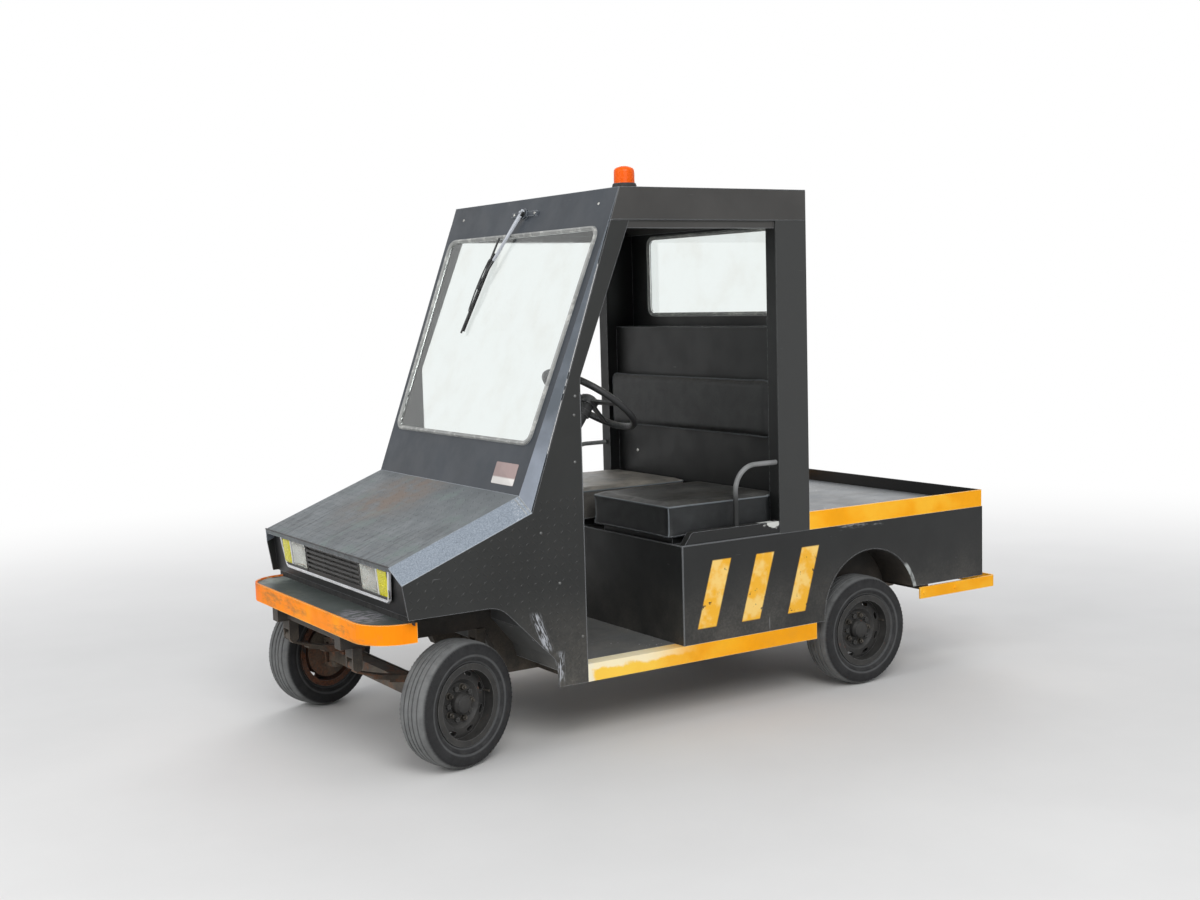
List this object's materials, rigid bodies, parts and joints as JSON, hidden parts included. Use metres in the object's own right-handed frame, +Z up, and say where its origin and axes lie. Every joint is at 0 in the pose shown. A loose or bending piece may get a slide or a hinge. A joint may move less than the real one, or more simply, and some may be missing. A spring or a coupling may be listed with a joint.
{
  "type": "airport baggage tug",
  "caption": "Small black utility tug with an open two-seat cab, sloping hood and windshield, roof with beacon, orange bumpers and sills, and a flat cargo deck behind.",
  "frame": {"origin": "middle of the bounding box's base, on the ground", "axes": "+X forward, +Y to the driver's left, +Z up"},
  "size_m": [2.88, 1.3164, 2.054],
  "materials": {
    "frame_rails": "black paint under road dirt",
    "floor_pan": "worn grey deck paint",
    "front_sides": "semi-gloss black paint, worn",
    "hood": "worn black tread plate",
    "lamp_bezel": "satin",
    "headlamps": "clear ribbed lens",
    "turn_lamps": "amber lens",
    "gaskets": "weathered grey",
    "panes": "clear",
    "wiper": "matte black",
    "beacon_base": "matte black",
    "beacon_lens": "amber lens",
    "driver_seat": "black vinyl",
    "passenger_seat": "faded black vinyl",
    "hip_restraints": "black paint",
    "sills": "orange paint, scuffed",
    "tail_lamps": "red lens",
    "battery": "black case",
    "tyre_fl": "road worn",
    "rim_fl": "matte black paint"
  },
  "bodies": {
    "chassis": {"frame_rails": "frame_rails", "frame_members": "frame_rails", "spring_hangers": "frame_rails", "floor_pan": "floor_pan", "front_sides": "front_sides", "hood": "hood", "nose_panel": "front_sides", "lamp_bezel": "lamp_bezel", "headlamps": "headlamps", "turn_lamps": "turn_lamps", "windshield_frame": "front_sides", "gaskets": "gaskets", "panes": "panes", "roof": "front_sides", "cab_rear": "front_sides", "beacon_base": "beacon_base", "beacon_lens": "beacon_lens", "dash": "beacon_base", "steering_column": "beacon_base", "pedals": "beacon_base", "seat_box": "front_sides", "driver_seat": "driver_seat", "passenger_seat": "passenger_seat", "backrest": "driver_seat", "hip_restraints": "hip_restraints", "body_sides": "front_sides", "wheel_wells": "front_sides", "sills": "sills", "bed_rails": "sills", "bed_floor": "floor_pan", "tail_panel": "front_sides", "tail_lamps": "tail_lamps", "front_bumper": "sills", "front_shelf": "front_sides", "rear_bumper": "sills", "tow_hitch": "frame_rails", "battery": "battery", "front_axle": "frame_rails", "rear_axle": "frame_rails"},
    "knuckle_left": {"knuckle_left": "frame_rails"},
    "knuckle_right": {"knuckle_right": "frame_rails"},
    "tie_rod": {"tie_rod": "frame_rails"},
    "wheel_fl": {"tyre_fl": "tyre_fl", "rim_fl": "rim_fl"},
    "wheel_fr": {"tyre_fr": "tyre_fl", "rim_fr": "rim_fl"},
    "wheel_rl": {"tyre_rl": "tyre_fl", "rim_rl": "rim_fl"},
    "wheel_rr": {"tyre_rr": "tyre_fl", "rim_rr": "rim_fl"},
    "steering_wheel": {"steering_wheel": "wiper"},
    "wiper": {"wiper": "wiper"}
  },
  "joints": [
    {"name": "steer_left", "type": "hinge", "parent": "chassis", "child": "knuckle_left", "pos_m": [1.133, 0.455, 0.22], "axis": [0, 0, 1], "range_deg": [-52, 18]},
    {"name": "steer_right", "type": "hinge", "parent": "chassis", "child": "knuckle_right", "pos_m": [1.133, -0.455, 0.22], "axis": [0, 0, 1], "range_deg": [-52, 18]},
    {"name": "tie_rod_pivot", "type": "hinge", "parent": "knuckle_left", "child": "tie_rod", "pos_m": [1.01824, 0.41991, 0.194], "axis": [0, 0, 1], "range_deg": [-18, 52]},
    {"name": "steering_wheel_turn", "type": "hinge", "parent": "chassis", "child": "steering_wheel", "pos_m": [0.383, 0.3, 1.205], "axis": [-0.5878, 0, 0.809], "range_deg": [-624, 216]},
    {"name": "front_left_wheel", "type": "hinge", "parent": "knuckle_left", "child": "wheel_fl", "pos_m": [1.10669, 0.54107, 0.22], "axis": [-0.2924, 0.9563, 0], "continuous": true},
    {"name": "front_right_wheel", "type": "hinge", "parent": "knuckle_right", "child": "wheel_fr", "pos_m": [1.15931, -0.54107, 0.22], "axis": [-0.2924, 0.9563, 0], "continuous": true},
    {"name": "rear_left_wheel", "type": "hinge", "parent": "chassis", "child": "wheel_rl", "pos_m": [-0.712, 0.54, 0.22], "axis": [0, 1, 0], "continuous": true},
    {"name": "rear_right_wheel", "type": "hinge", "parent": "chassis", "child": "wheel_rr", "pos_m": [-0.712, -0.54, 0.22], "axis": [0, 1, 0], "continuous": true},
    {"name": "wiper_sweep", "type": "hinge", "parent": "chassis", "child": "wiper", "pos_m": [0.46111, 0, 1.91056], "axis": [0.9309, 0, 0.3653], "range_deg": [-15, 75]}
  ],
  "couplings": [
    {"joint": "steer_right", "follows": "steer_left", "ratio": 1},
    {"joint": "tie_rod_pivot", "follows": "steer_left", "ratio": -1},
    {"joint": "steering_wheel_turn", "follows": "steer_left", "ratio": 12}
  ]
}
